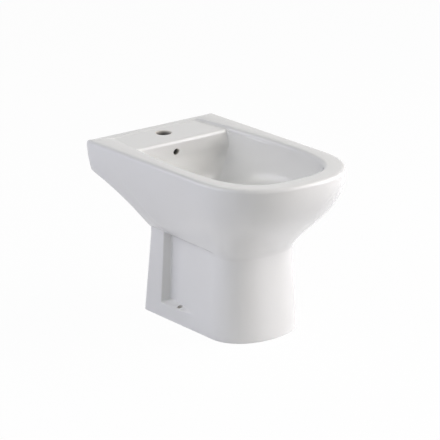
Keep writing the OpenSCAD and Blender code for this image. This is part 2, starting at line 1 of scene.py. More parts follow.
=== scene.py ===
"""Looks of a floor-standing bidet: its glazed china body, its waste and the studio round them.

The china is one skin, extruded ring by ring from the middle of the pedestal's roof to the middle
of the basin, and then cut by its holes. The waste's pieces keep their meshes and get finishes.
Metres. The floor is z = 0, the front is -Y and the body is centred on x = 0.
"""
import logging
import math
from dataclasses import dataclass, field
from enum import Enum
from typing import Callable, Sequence

import bmesh
import bpy
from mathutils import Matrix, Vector


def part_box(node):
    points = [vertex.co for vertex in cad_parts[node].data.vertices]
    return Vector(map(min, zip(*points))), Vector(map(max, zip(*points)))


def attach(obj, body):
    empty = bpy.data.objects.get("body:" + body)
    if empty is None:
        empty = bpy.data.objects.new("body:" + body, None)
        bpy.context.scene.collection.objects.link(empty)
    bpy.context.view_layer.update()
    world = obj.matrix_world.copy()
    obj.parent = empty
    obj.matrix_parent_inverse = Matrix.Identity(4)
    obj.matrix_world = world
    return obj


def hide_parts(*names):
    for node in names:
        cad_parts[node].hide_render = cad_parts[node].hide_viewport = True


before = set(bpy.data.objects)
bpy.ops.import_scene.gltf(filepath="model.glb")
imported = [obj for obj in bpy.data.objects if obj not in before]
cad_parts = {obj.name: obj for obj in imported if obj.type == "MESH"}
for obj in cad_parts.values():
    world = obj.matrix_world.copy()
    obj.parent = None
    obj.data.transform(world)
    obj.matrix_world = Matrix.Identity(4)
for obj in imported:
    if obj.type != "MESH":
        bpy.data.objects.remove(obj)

LOG = logging.getLogger("bidet")
MM = 0.001
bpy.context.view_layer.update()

Plan = tuple[float, float]
Point = tuple[float, float, float]
Colour = tuple[float, float, float, float]
Rule = Callable[..., Point]


def mix(a: float, b: float, t: float) -> float:
    """Value a share t of the way from a to b."""
    return a + (b - a) * t


def share(t: float) -> float:
    """t held between 0 and 1."""
    return min(max(t, 0.0), 1.0)


def smooth(a: float, b: float, v: float) -> float:
    """Share of the way from a to b at v, with a level start and end."""
    t = share((v - a) / (b - a))
    return t * t * (3 - 2 * t)


def quarter(steps: int) -> list[float]:
    """Angles of a quarter turn in equal steps, with both ends."""
    return [math.pi / 2 * k / steps for k in range(steps + 1)]


def direction(azimuth: float, elevation: float) -> Vector:
    """Way towards a place in the sky, in degrees, with azimuth 0 in front and 90 at +X."""
    a, e = math.radians(azimuth), math.radians(elevation)
    return Vector((math.sin(a) * math.cos(e), -math.cos(a) * math.cos(e), math.sin(e)))


class Stretch(Enum):
    """Stretches of half a plan outline, from the middle of the back, with their steps.

    A station u on the outline is the stretch's place in this list plus the share of it.
    """

    BACK = 12
    CORNER = 10
    DECK = 24
    SIDE = 30
    FRONT = 44


class Clay(Enum):
    """How a ring of the skin is finished: under glaze, or bare fired clay."""

    GLAZED = 0.0
    BARE = 1.0


@dataclass
class Ring:
    """One closed ring of the china's skin.

    Attributes:
        points: Corners in order, from the middle of the back.
        clay: Its finish.
    """

    points: list[Vector]
    clay: Clay


# ---- Modelling by hand ------------------------------------------------------------------------


class Bench:
    """The few hand moves that every new piece is made with."""

    @staticmethod
    def deselect() -> None:
        """Leaves nothing selected and no mode open."""
        if bpy.context.object and bpy.context.object.mode != "OBJECT":
            bpy.ops.object.mode_set(mode="OBJECT")
        bpy.ops.object.select_all(action="DESELECT")

    @staticmethod
    def take(name: str) -> bpy.types.Object:
        """Names the piece that was just added and opens it for editing.

        Args:
            name: Name of the piece.
        Returns:
            The piece, in edit mode with all of it selected.
        """
        piece = bpy.context.object
        piece.name = piece.data.name = name
        bpy.ops.object.mode_set(mode="EDIT")
        bpy.ops.mesh.select_mode(type="VERT")
        bpy.ops.mesh.select_all(action="SELECT")
        return piece

    @classmethod
    def outline(cls, name: str, points: list[Vector], filled: bool) -> bpy.types.Object:
        """Adds a circle and sets its corners to an outline.

        Args:
            name: Name of the piece.
            points: Corners in order.
            filled: Whether a face closes it.
        Returns:
            The piece, open for editing with the outline selected.
        """
        cls.deselect()
        fill = "NGON" if filled else "NOTHING"
        bpy.ops.mesh.primitive_circle_add(vertices=len(points), radius=1, fill_type=fill)
        piece = cls.take(name)
        mesh = bmesh.from_edit_mesh(piece.data)
        mesh.verts.ensure_lookup_table()
        for corner, point in zip(mesh.verts, points):
            corner.co = point
        bmesh.update_edit_mesh(piece.data)
        return piece

    @staticmethod
    def close(piece: bpy.types.Object) -> bpy.types.Object:
        """Turns all faces outwards and leaves edit mode.

        Args:
            piece: The piece, open for editing.
        Returns:
            The same piece.
        """
        bpy.ops.mesh.select_all(action="SELECT")
        bpy.ops.mesh.normals_make_consistent(inside=False)
        bpy.ops.object.mode_set(mode="OBJECT")
        return piece

    @classmethod
    def prism(cls, name: str, points: list[Vector], along: Vector) -> bpy.types.Object:
        """Extrudes a filled outline.

        Args:
            name: Name of the piece.
            points: Corners of the outline.
            along: Way and length of the extrusion.
        Returns:
            The closed prism.
        """
        piece = cls.outline(name, points, filled=True)
        bpy.ops.mesh.extrude_region_move(TRANSFORM_OT_translate={"value": along})
        return cls.close(piece)

    @classmethod
    def turned(cls, name: str, profile: list[Plan], sides: int = 96) -> bpy.types.Object:
        """Turns a solid about Z by extruding and scaling a disc.

        Args:
            name: Name of the piece.
            profile: Radius and height of each step, upwards.
            sides: Corners of the disc.
        Returns:
            The closed solid, about the origin.
        """
        cls.deselect()
        radius, height = profile[0]
        bpy.ops.mesh.primitive_circle_add(
            vertices=sides, radius=radius, fill_type="NGON", location=(0, 0, height))
        piece = cls.take(name)
        for r, z in profile[1:]:
            rise = {"value": (0, 0, z - height)}
            bpy.ops.mesh.extrude_region_move(TRANSFORM_OT_translate=rise)
            if abs(r - radius) > 1e-9:
                bpy.ops.transform.resize(
                    value=(r / radius, r / radius, 1), center_override=(0, 0, z))
            radius, height = r, z
        cls.close(piece)
        cls.settle(piece)
        return piece

    @classmethod
    def settle(cls, piece: bpy.types.Object) -> None:
        """Puts the piece's place and turn into its mesh.

        Args:
            piece: The piece.
        """
        cls.deselect()
        piece.select_set(True)
        bpy.context.view_layer.objects.active = piece
        bpy.ops.object.transform_apply(location=True, rotation=True, scale=True)

    @classmethod
    def stand(cls, piece: bpy.types.Object, at: Vector, tilt: float = 0.0) -> bpy.types.Object:
        """Tilts a piece about X, moves it and settles it.

        Args:
            piece: The piece, about the origin.
            at: Where its origin goes.
            tilt: Angle about X in degrees.
        Returns:
            The same piece.
        """
        piece.rotation_euler = (math.radians(tilt), 0, 0)
        piece.location = at
        cls.settle(piece)
        return piece

    @classmethod
    def cut(cls, piece: bpy.types.Object, tool: bpy.types.Object, how: str = "DIFFERENCE") -> None:
        """Cuts one piece with another, which is used up.

        Args:
            piece: The piece to cut.
            tool: The solid that cuts it.
            how: The Boolean operation.
        """
        cls.deselect()
        piece.select_set(True)
        bpy.context.view_layer.objects.active = piece
        step = piece.modifiers.new("cut", "BOOLEAN")
        step.operation = how
        step.solver = "EXACT"
        step.object = tool
        bpy.ops.object.modifier_apply(modifier=step.name)
        bpy.data.objects.remove(tool, do_unlink=True)


# ---- Shaders as expressions -------------------------------------------------------------------


class Value:
    """A number that varies over a surface, with Python's own arithmetic."""

    def __init__(self, shop: "Shader", socket: bpy.types.NodeSocket) -> None:
        """Wraps an output socket of a material."""
        self.shop = shop
        self.socket = socket

    def _math(self, operation: str, *terms: "Value | float") -> "Value":
        """Adds a Math node for one operation."""
        inputs = dict(enumerate(terms))
        return self.shop.node("ShaderNodeMath", {"operation": operation}, inputs)[0]

    def __add__(self, other: "Value | float") -> "Value":
        """self + other."""
        return self._math("ADD", self, other)

    def __radd__(self, other: "Value | float") -> "Value":
        """other + self."""
        return self._math("ADD", other, self)

    def __sub__(self, other: "Value | float") -> "Value":
        """self - other."""
        return self._math("SUBTRACT", self, other)

    def __rsub__(self, other: "Value | float") -> "Value":
        """other - self."""
        return self._math("SUBTRACT", other, self)

    def __mul__(self, other: "Value | float") -> "Value":
        """self * other."""
        return self._math("MULTIPLY", self, other)

    def __rmul__(self, other: "Value | float") -> "Value":
        """other * self."""
        return self._math("MULTIPLY", other, self)

    def __truediv__(self, other: "Value | float") -> "Value":
        """self / other."""
        return self._math("DIVIDE", self, other)

    def __gt__(self, other: "Value | float") -> "Value":
        """1 where self is greater than other."""
        return self._math("GREATER_THAN", self, other)

    def __lt__(self, other: "Value | float") -> "Value":
        """1 where self is less than other."""
        return self._math("LESS_THAN", self, other)

    def fraction(self) -> "Value":
        """Its part after the point."""
        return self._math("FRACT", self)

    def top(self, other: "Value | float") -> "Value":
        """The greater of self and other."""
        return self._math("MAXIMUM", self, other)


class Shader:
    """One material's node tree and the one way in which nodes are added to it."""

    def __init__(self, tree: bpy.types.NodeTree) -> None:
        """Starts with an empty tree."""
        self.tree = tree
        self.tree.nodes.clear()

    def node(self, kind: str, settings: dict, inputs: dict) -> list[Value]:
        """Adds a node.

        Args:
            kind: Blender's type of the node.
            settings: Its own settings, which are set first.
            inputs: Values or links by socket name or number.
        Returns:
            Its outputs, in order.
        """
        made = self.tree.nodes.new(kind)
        for name, setting in settings.items():
            setattr(made, name, setting)
        for name, value in inputs.items():
            if isinstance(value, Value):
                self.tree.links.new(value.socket, made.inputs[name])
            else:
                made.inputs[name].default_value = value
        return [Value(self, out) for out in made.outputs]

    def places(self) -> Value:
        """Object coordinates."""
        return self.node("ShaderNodeTexCoord", {}, {})[3]

    def noise(self, size: float, detail: float) -> Value:
        """Noise between 0 and 1.

        Args:
            size: Size of its largest patches in metres.
            detail: How many finer layers it has.
        Returns:
            The noise.
        """
        inputs = {"Vector": self.places(), "Scale": 1 / size, "Detail": detail}
        return self.node("ShaderNodeTexNoise", {}, inputs)[0]

    def tint(self, factor: Value, a: Value | Colour, b: Value | Colour) -> Value:
        """Colour between a and b."""
        inputs = {"Factor": factor, 6: a, 7: b}
        return self.node("ShaderNodeMix", {"data_type": "RGBA"}, inputs)[2]

    def bump(self, height: Value, depth: float) -> Value:
        """Normal of a relief.

        Args:
            height: Relief between 0 and 1.
            depth: Its depth in metres.
        Returns:
            The normal.
        """
        return self.node("ShaderNodeBump", {}, {"Height": height, "Distance": depth})[0]

    def surface(self, colour: Value, rough: Value, normal: Value, plain: dict) -> None:
        """Adds a Principled surface and joins it to the material's output.

        Args:
            colour: Its colour.
            rough: Its roughness.
            normal: Its normal.
            plain: What is the same all over it, by socket name.
        """
        inputs = {"Base Color": colour, "Roughness": rough, "Normal": normal, **plain}
        self.finish(self.node("ShaderNodeBsdfPrincipled", {}, inputs)[0])

    def finish(self, surface: Value) -> None:
        """Joins a surface to the material's output."""
        self.node("ShaderNodeOutputMaterial", {}, {"Surface": surface})


def new_material(name: str) -> tuple[bpy.types.Material, Shader]:
    """Makes an empty material.

    Args:
        name: Its name.
    Returns:
        The material and its shader.
    """
    material = bpy.data.materials.new(name)
    material.use_nodes = True
    return material, Shader(material.node_tree)


@dataclass(frozen=True)
class Glaze:
    """Clear white glaze over vitreous china, bare on the foot and in the hollow, with shade painted
    deep in its holes.

    Attributes:
        white: Colour of the glazed clay.
        warm: Colour where the glaze pooled a little thicker.
        clay: Colour of the bare fired clay.
        dark: Painted shade, a dark colour put on the clay deep in the holes, where little light
            comes.
        iron: Colour of the few specks of iron in the clay.
        iron_seen: How much of that colour the glaze lets through.
        iron_rare: Height of the noise above which there is a speck.
        gloss: Roughness of the glaze.
        bare_gloss: Roughness of the bare clay.
        ior: Index of refraction of the glaze.
        relief: Depth of its ripples in metres.
    """

    white: Colour = (0.80, 0.80, 0.80, 1)
    warm: Colour = (0.79, 0.785, 0.775, 1)
    clay: Colour = (0.70, 0.67, 0.62, 1)
    dark: Colour = (0.12, 0.117, 0.113, 1)
    iron: Colour = (0.55, 0.52, 0.48, 1)
    iron_seen: float = 0.12
    iron_rare: float = 0.83
    gloss: float = 0.09
    bare_gloss: float = 0.62
    ior: float = 1.5
    relief: float = 0.00006

    def material(self) -> bpy.types.Material:
        """Makes the glaze's material.

        Returns:
            The material, which reads the mesh's shares of bare clay and of painted shade in the
            holes.
        """
        made, s = new_material("glaze")
        bare = s.node("ShaderNodeAttribute", {"attribute_name": "bare"}, {})[2]
        # The deep attribute is the share of painted shade deep in the holes.
        deep = s.node("ShaderNodeAttribute", {"attribute_name": "deep"}, {})[2]
        cloud = s.noise(0.11, 3)
        ripple = s.noise(0.009, 1)
        grain = s.noise(0.0011, 2)
        speck = s.noise(0.0016, 0) > self.iron_rare
        colour = s.tint(cloud, self.white, self.warm)
        colour = s.tint(speck * self.iron_seen, colour, self.iron)
        colour = s.tint(bare, colour, self.clay)
        # Painted shade: the clay deep in the holes is tinted towards a dark colour.
        colour = s.tint(deep, colour, self.dark)
        rough = ((self.gloss + cloud * 0.03) * (1 - bare)
                 + bare * (self.bare_gloss + 0.2 * grain))
        relief = ripple * (1 - bare) + bare * (0.5 + 2.2 * grain)
        s.surface(colour, rough + 0.5 * deep, s.bump(relief, self.relief), {"IOR": self.ior})
        return made


@dataclass(frozen=True)
class Chrome:
    """Bright plate, with the faint lines of polishing and, on a tail, its thread.

    Attributes:
        name: Name of the material.
        colour: Colour of the plate.
        gloss: Its roughness.
        scratch: Depth of the lines of polishing in metres.
        thread: Lowest and highest z of the thread, or none.
        pitch: Pitch of the thread in metres.
        ridge: Depth of the thread in metres.
    """

    name: str = "chrome"
    colour: Colour = (0.86, 0.87, 0.88, 1)
    gloss: float = 0.07
    scratch: float = 0.000004
    thread: Plan | None = None
    pitch: float = 2.3 * MM
    ridge: float = 0.0006

    def material(self) -> bpy.types.Material:
        """Makes the plate's material.

        Returns:
            The material.
        """
        made, s = new_material(self.name)
        smear = s.noise(0.02, 3)
        scratch = s.noise(0.0012, 1)
        colour = s.tint(smear, self.colour, tuple(0.96 * c for c in self.colour[:3]) + (1,))
        relief, depth = scratch, self.scratch
        if self.thread:
            z = s.node("ShaderNodeSeparateXYZ", {}, {0: s.places()})[2]
            low, high = self.thread
            ridge = (z / self.pitch).fraction()
            ridge = 1 - (2 * ridge - 1).top(1 - 2 * ridge)
            relief, depth = ridge * (z > low) * (z < high) + 0.01 * scratch, self.ridge
        s.surface(colour, self.gloss + 0.08 * smear, s.bump(relief, depth), {"Metallic": 1.0})
        return made


@dataclass(frozen=True)
class Moulded:
    """Moulded plastic or rubber with a fine grain.

    Attributes:
        name: Name of the material.
        colour: Its colour.
        gloss: Its roughness.
        grain: Size of its grain in metres.
        depth: Depth of the grain in metres.
        ior: Index of refraction.
    """

    name: str
    colour: Colour
    gloss: float
    grain: float = 0.0006
    depth: float = 0.00002
    ior: float = 1.49

    def material(self) -> bpy.types.Material:
        """Makes the moulded stuff's material.

        Returns:
            The material.
        """
        made, s = new_material(self.name)
        cloud = s.noise(0.012, 3)
        grain = s.noise(self.grain, 2)
        worn = tuple(share(c * 1.12 + 0.012) for c in self.colour[:3]) + (1,)
        s.surface(s.tint(cloud, self.colour, worn), self.gloss + 0.12 * cloud,
                  s.bump(grain, self.depth), {"IOR": self.ior})
        return made


# ---- The china body ---------------------------------------------------------------------------


@dataclass(frozen=True)
class Hole:
    """A hole in the skin, down which shade is painted on the clay.

    Attributes:
        at: Middle of its mouth.
        out: Way out of it.
        r: Its radius, with its rounded edge.
        start: Depth at which the painted shade starts.
        full: Depth from which the painted shade is full.
    """

    at: Vector
    out: Vector
    r: float
    start: float
    full: float

    def dark(self, corner: Vector) -> float:
        """How much painted shade a corner of the skin gets.

        Args:
            corner: Its place.
        Returns:
            A share, 0 outside the hole.
        """
        way = self.at - corner
        sunk = way.dot(self.out)
        if -1 * MM < sunk < 40 * MM and (way - self.out * sunk).length < self.r:
            return share((sunk - self.start) / (self.full - self.start))
        return 0.0


@dataclass
class China:
    """The glazed body: its sizes, its skin and its holes. Sizes in metres.

    A size named _square says how square a curve is, 2 for an ellipse. At a share t of its height
    the flare has grown by 1 - (1 - t ** start) ** end, with the sizes named _start and _end.
    """

    # The whole.
    width: float = 367 * MM
    length: float = 585 * MM
    height: float = 394 * MM
    wall: float = 12 * MM
    corner_r: float = 18 * MM
    # The rim.
    rim_outer_r: float = 9 * MM
    rim_inner_r: float = 9 * MM
    rim_side: float = 38.5 * MM
    rim_front: float = 51 * MM
    rim_deck: float = 61 * MM
    rim_front_l: float = 172 * MM
    rim_square: float = 2.34
    rim_t: float = 40 * MM
    strip_drop: float = 4 * MM
    # The deck, its front lip and the tap hole.
    deck_l: float = 132 * MM
    deck_border: float = 29 * MM
    deck_border_r: float = 10 * MM
    deck_drop: float = 5.5 * MM
    deck_t: float = 14 * MM
    lip_r: float = 7 * MM
    tap_hole_r: float = 17.5 * MM
    tap_hole_back: float = 60.5 * MM
    tap_hole_edge_r: float = 2.8 * MM
    tap_hole_l: float = 18 * MM
    # The basin, from its steep wall to its floor. Angles in degrees, 90 at the floor.
    depth: float = 138 * MM
    basin_square: float = 2.6
    basin_plan_square: float = 2.9
    basin_turn: float = -36 * MM
    wall_angle: float = 31
    floor_angle: float = 70
    boss_angle: float = 78
    # The wall under the deck: it bows back, and its ends turn forward into the basin's sides.
    back_square: float = 5.0
    under_square: float = 0.88
    wall_half: float = 129 * MM
    wall_corner_r: float = 1.6 * MM
    wall_bow: float = 22 * MM
    wall_bow_h: float = 42 * MM
    wall_end: float = 9 * MM
    wall_turn_h: float = 28 * MM
    wall_turn_wide: float = 0.4
    wall_turn_sharp: float = 0.6
    side_gap: float = 12 * MM
    side_gap_h: float = 40 * MM
    # The overflow and its duct. Shares: of the wall's thickness that covers the duct, of the
    # wall's bow where it runs down, and of the basin's depth that its bend has as its radius.
    overflow_r: float = 7.5 * MM
    overflow_x: float = -13 * MM
    overflow_drop: float = 34 * MM
    overflow_edge_r: float = 1.6 * MM
    overflow_l: float = 17.3 * MM
    duct_r: float = 5.5 * MM
    duct_cover: float = 0.7
    duct_bow: float = 0.8
    duct_bend: float = 0.54
    # The pedestal's foot and neck, and the flange behind its side pockets.
    foot_w: float = 224.5 * MM
    foot_front: float = 172 * MM
    foot_back: float = 166.5 * MM
    foot_front_l: float = 88 * MM
    foot_square: float = 2.19
    foot_corner_r: float = 10 * MM
    foot_edge_r: float = 2 * MM
    neck_w: float = 202 * MM
    neck_front: float = 155 * MM
    neck_back: float = 155.5 * MM
    neck_square: float = 2.5
    neck_z: float = 190 * MM
    flange_z: float = 201 * MM
    flange_rise: float = 4 * MM
    flange_l: float = 57 * MM
    back_edge_z: float = 319 * MM
    # The flare.
    side_start: float = 0.9
    side_end: float = 1.7
    front_start: float = 1.5
    front_end: float = 2.5
    back_start: float = 2.54
    back_end: float = 0.95
    # The side pockets and the floor fixings in them.
    pocket_x: float = 88.5 * MM
    pocket_top_x: float = 81 * MM
    pocket_floor: float = 33 * MM
    pocket_roof: float = 197.5 * MM
    pocket_rise: float = 1 * MM
    pocket_roof_r: float = 5 * MM
    pocket_edge_r: float = 3 * MM
    pocket_corner_r: float = 4 * MM
    pocket_slant: float = 3 * MM
    fixing_r: float = 5.5 * MM
    fixing_x: float = 100 * MM
    fixing_y: float = 44 * MM
    fixing_edge_r: float = 0.8 * MM
    fixing_l: float = 45 * MM
    # The opening in the back of the pedestal.
    opening_w: float = 128 * MM
    opening_h: float = 285 * MM
    opening_r: float = 40 * MM
    # The waste's seat and the boss under it.
    waste_y: float = 20 * MM
    seat_r: float = 32.5 * MM
    seat_drop: float = 4 * MM
    seat_edge_r: float = 2 * MM
    drain_r: float = 23 * MM
    boss_t: float = 30 * MM
    boss_r: float = 38 * MM
    # Where a mesh is smooth enough to be shaded so, in degrees between its faces.
    smooth_below: float = 32

    def __post_init__(self) -> None:
        """Works out the lengths and heights that follow from the sizes."""
        self.half_w = self.width / 2
        self.half_l = self.length / 2
        self.inner = self.wall + 1.5 * MM
        self.rim_side_z = self.height - self.rim_outer_r
        self.rim_turn = self.rim_front_l - self.half_l
        self.foot_turn = self.foot_front_l - self.foot_front
        self.deck_z = self.height - self.deck_drop
        self.deck_front = self.half_l - self.deck_l
        self.deck_half_w = self.half_w - self.rim_deck
        self.lip_z = self.deck_z - self.lip_r
        self.basin_half_w = self.half_w - self.rim_side
        self.basin_front = self.rim_front - self.half_l
        self.floor_z = self.height - self.depth
        self.seat_z = self.floor_z - self.seat_drop
        self.boss_z = self.seat_z - self.boss_t
        self.overflow_z = self.height - self.overflow_drop
        self.duct_depth = self.duct_r + self.duct_cover * self.wall
        self.duct_wall_y = self.deck_front - self.wall_end + self.duct_bow * self.wall_bow
        self.stations = [0.0]
        for place, stretch in enumerate(Stretch):
            self.stations += [place + k / stretch.value for k in range(1, stretch.value + 1)]

    # -- Plan outlines --

    @staticmethod
    def side_step(u: float) -> float:
        """Share of the way from the deck to the front, closer beside the deck."""
        t = share(u - 3)
        return 0.35 * t + 0.65 * t * t

    @staticmethod
    def deck_share(u: float) -> float:
        """1 behind and beside the deck, 0 along the basin."""
        return 1 - smooth(3.0, 3.11, u)

    def outline(self, u: float, w: float, wb: float, yb: float, rc: float,
                ya: float, ys: float, yf: float, n: float) -> Plan:
        """One point of half a plan outline.

        Args:
            u: Station.
            w: Half width at the widest.
            wb: Half width at the back corner.
            yb: Back.
            rc: Radius of the back corner.
            ya: End of the deck's side.
            ys: Where the front turns.
            yf: Front.
            n: How square the front is.
        Returns:
            Its x and y.
        """
        if u <= 1:
            return (wb - rc) * math.sin(math.pi / 2 * u), yb
        if u <= 2:
            a = math.pi / 2 * (u - 1)
            return wb - rc + rc * math.sin(a), yb - rc + rc * math.cos(a)
        if u <= 4:
            y = mix(yb - rc, ya, u - 2) if u <= 3 else mix(ya, ys, self.side_step(u))
            t = (yb - rc - y) / (yb - rc - ys)
            return wb + (w - wb) * math.sin(math.pi / 2 * t), y
        a = math.pi / 2 * (u - 4)
        c, s = max(math.cos(a), 0.0), math.sin(a)
        reach = (c ** n + s ** n) ** (-1 / n)
        return w * c * reach, ys - (ys - yf) * s * reach

    # -- Outer skin --

    def flange_top(self, u: float) -> float:
        """Height at which the flare leaves the flange in a sharp line."""
        return self.flange_z + self.flange_rise * smooth(1, 3, u)

    def side_share(self, u: float, z: float) -> float:
        """How far the side has grown from the neck, sharp at the flange, to the rim.

        Args:
            u: Station.
            z: Height.
        Returns:
            A share.
        """
        front = smooth(2.95, 4.1, u)
        low = mix(self.flange_top(u), self.neck_z, front)
        t = share((z - low) / (self.rim_side_z - low))
        start = mix(self.side_start, self.front_start, front)
        return 1 - (1 - t ** start) ** mix(self.side_end, self.front_end, front)

    def back_share(self, z: float) -> float:
        """Share of the back's growth from the neck to its edge."""
        t = share((z - self.neck_z) / (self.back_edge_z - self.neck_z))
        return 1 - (1 - t ** self.back_start) ** self.back_end

    def grown(self, z: float, foot: float, neck: float, rim: float, t: float) -> float:
        """A size at height z, from its foot to its neck, and a share t on from there to its rim."""
        low = mix(neck, foot, share(1 - z / self.neck_z))
        return low if z < self.neck_z else mix(neck, rim, t)

    def pocket_top(self, u: float) -> float:
        """Height of the pocket's roof at a station."""
        return self.pocket_roof + self.pocket_rise * self.side_step(min(max(u, 3), 4))

    def pocket_open(self, u: float, z: float) -> float:
        """How far the pocket is open.

        Args:
            u: Station.
            z: Height.
        Returns:
            A share, 0 at the pedestal's skin and 1 at the pocket's back wall.
        """
        front = smooth(0.3, 0.6, self.side_step(max(u, 3)))
        low = mix(smooth(self.pocket_floor, self.pocket_floor + 8 * MM, z),
                  smooth(0, 2 * self.pocket_floor, z), front)
        top = self.pocket_top(u)
        return low * (1 - smooth(top, top + self.pocket_roof_r, z))

    def pocket_path(self, t: float, top: float, y: float, depth: float) -> Plan:
        """Flange, its edge, the pocket's back wall and the corner, as a plan path.

        Args:
            t: Share of the path.
            top: Where the flange starts.
            y: Front of the flange.
            depth: Depth of the pocket.
        Returns:
            Depth into the pocket and y.
        """
        edge, corner = self.pocket_edge_r, self.pocket_corner_r
        edge_in, wall_in = min(edge, depth), max(depth - corner, 0.0)
        wall_y = y - self.pocket_slant
        if t <= 1 / 3:
            return 0.0, mix(top, y + edge, 3 * t)
        if t <= 1 / 2:
            a = math.pi / 2 * (6 * t - 2)
            return edge_in * (1 - math.cos(a)), y + edge * (1 - math.sin(a))
        if t <= 2 / 3:
            return mix(edge_in, wall_in, 6 * t - 3), mix(y, wall_y, 6 * t - 3)
        a = math.pi / 2 * (3 * t - 2)
        return mix(wall_in, depth, math.sin(a)), wall_y - corner * (1 - math.cos(a))

    def skin(self, u: float, z: float, inset: float = 0, opened: float = 0,
             shift: float = 0) -> Plan:
        """A plan point of the outer skin.

        Args:
            u: Station.
            z: Height.
            inset: How far inside the skin it lies.
            opened: How far the pocket is open there.
            shift: How far back the pocket's back wall is moved.
        Returns:
            Its x and y.
        """
        s, b = self.side_share(u, z), self.back_share(z)
        w = self.grown(z, self.foot_w / 2, self.neck_w / 2, self.half_w, s) - inset
        yb = self.grown(z, self.foot_back, self.neck_back, self.half_l, b) - inset
        yf = inset - self.grown(z, self.foot_front, self.neck_front, self.half_l, s)
        rc = max(mix(self.foot_corner_r, self.corner_r, s) - inset, 3 * MM)
        ys = mix(self.foot_turn, self.rim_turn, s)
        n = self.grown(z, self.foot_square, self.neck_square, self.rim_square, s)
        flange_y = self.neck_back - self.flange_l + 3 * MM
        flange_y = mix(flange_y, self.deck_front + 4 * MM, b) + shift
        wall_x = mix(self.pocket_x, self.pocket_top_x, share(z / self.neck_z))
        depth = max(w - wall_x + inset, 1 * MM)
        ya = flange_y - self.pocket_slant - self.pocket_corner_r
        x, y = self.outline(u, w, w, yb, rc, ya, ys, yf, n)
        if 2 < u <= 3:
            step, y = self.pocket_path(u - 2, yb - rc, flange_y, depth)
            return w - opened * step, y
        if 3 < u <= 4:
            return w - opened * depth * (1 - self.side_step(u)), y
        return x, y

    # -- Rim, deck and basin --

    def rim_z(self, u: float) -> float:
        """Height of the rim's top: the strip behind the deck lies lower."""
        return self.height - self.strip_drop * (1 - smooth(0.93, 2.0, u))

    def basin_edge(self, u: float, g: float) -> Plan:
        """Plan of the basin's top edge, which runs behind the deck.

        Args:
            u: Station.
            g: How far outside the edge the point lies.
        Returns:
            Its x and y.
        """
        ya = self.deck_front + self.lip_r - self.wall_corner_r - 1 * MM
        return self.outline(u, self.basin_half_w + g, self.deck_half_w + g,
                            self.half_l - self.deck_border + g, self.deck_border_r + g, ya,
                            self.basin_turn, self.basin_front - g, self.basin_plan_square)

    def basin_point(self, u: float, z: float, g: float = 0) -> Plan:
        """Plan of the basin's surface, or of its underside, which is plainer at the back.

        Args:
            u: Station.
            z: Height.
            g: How far the underside lies outside the surface, 0 for the surface.
        Returns:
            Its x and y.
        """
        d = share((self.height - z) / (self.depth + g))
        r = (1 - d ** self.basin_square) ** (1 / self.basin_square)
        m = self.back_square * (self.under_square if g > 0 else 1)
        r_back = (1 - d ** m) ** (1 / m)
        sunk = self.deck_z - z
        bow = 1.0 if g > 0 else share((sunk - self.lip_r) / self.wall_bow_h)
        turn = 1.0 if g > 0 else share((sunk - self.lip_r) / self.wall_turn_h)
        deep = self.wall_bow * (1 - d ** 3)
        back = self.deck_front + (deep - self.wall_end) * bow - deep * turn + g
        w, wb = (self.basin_half_w + g) * r, (self.wall_half + g) * r
        yb = mix(self.waste_y, back, r_back)
        yf = mix(self.waste_y, self.basin_front - g, r)
        ys = mix(self.waste_y, self.basin_turn, r)
        rc = self.wall_corner_r + g * 0.5
        gap = smooth(self.lip_r, self.lip_r + self.side_gap_h, sunk)
        reach = mix(1 * MM, self.side_gap, gap)
        x, y = self.outline(u, w, wb, yb, rc, yb - rc - reach, ys, yf, self.basin_plan_square)
        if u <= 2:
            t = min(abs(x) / max(wb, 1 * MM), 1)
            y += deep * turn * (1 - self.wall_turn_wide * t ** 2 - self.wall_turn_sharp * t ** 9)
        return x, y

    def lip_point(self, u: float, o: float) -> Plan:
        """Plan of the deck's front lip.

        Args:
            u: Station.
            o: How far behind the lip's front the point lies.
        Returns:
            Its x and y.
        """
        back, rc = self.deck_front + o, self.wall_corner_r
        return self.outline(u, self.basin_half_w, self.wall_half, back, rc, back - rc - 1 * MM,
                            self.basin_turn, self.basin_front, self.basin_plan_square)

    def basin_z(self, a: float, g: float = 0) -> float:
        """Height at basin angle a in degrees, 0 at the rim and 90 at the floor."""
        return self.height - (self.depth + g) * math.sin(math.radians(a)) ** (2 / self.basin_square)

    def to_circle(self, p: Plan, r: float, t: float) -> Plan:
        """Draws a plan point towards a circle round the waste.

        Args:
            p: The point.
            r: Radius of the circle.
            t: 1 on the circle.
        Returns:
            Its new x and y.
        """
        x, y = p[0], p[1] - self.waste_y
        far = math.hypot(x, y) or 1.0
        return mix(p[0], x * r / far, t), mix(p[1], self.waste_y + y * r / far, t)

    # -- Points of the hollow --

    def shell_t(self, u: float) -> float:
        """Thickness of the basin's wall, greater round the overflow's duct."""
        thick = self.duct_depth + self.duct_r + 0.5 * self.wall
        return mix(thick, self.wall, smooth(0.14, 0.29, u))

    def ceiling_z(self, u: float) -> float:
        """Height of the hollow's ceiling under the rim and the deck."""
        return mix(self.height - self.rim_t, self.deck_z - self.deck_t, self.deck_share(u))

    def boss(self, u: float, grow: float, rise: float | None) -> Point:
        """The boss round the waste.

        Args:
            u: Station.
            grow: How far outside its radius the point lies.
            rise: Height above its foot, or none where it meets the basin's underside.
        Returns:
            The point.
        """
        p = self.basin_point(u, self.basin_z(self.boss_angle, self.wall), self.wall)
        z = self.floor_z - self.shell_t(u) if rise is None else self.boss_z + rise
        return *self.to_circle(p, self.boss_r + grow, 1), z

    def under(self, u: float, a: float) -> Point:
        """The basin's underside at basin angle a."""
        t, z = self.shell_t(u), self.basin_z(a, self.shell_t(u))
        return *self.basin_point(u, z, t), z

    def under_top(self, u: float, drop: float) -> Point:
        """The basin's underside, a drop below the ceiling."""
        z = self.ceiling_z(u) - drop
        return *self.basin_point(u, z, self.shell_t(u)), z

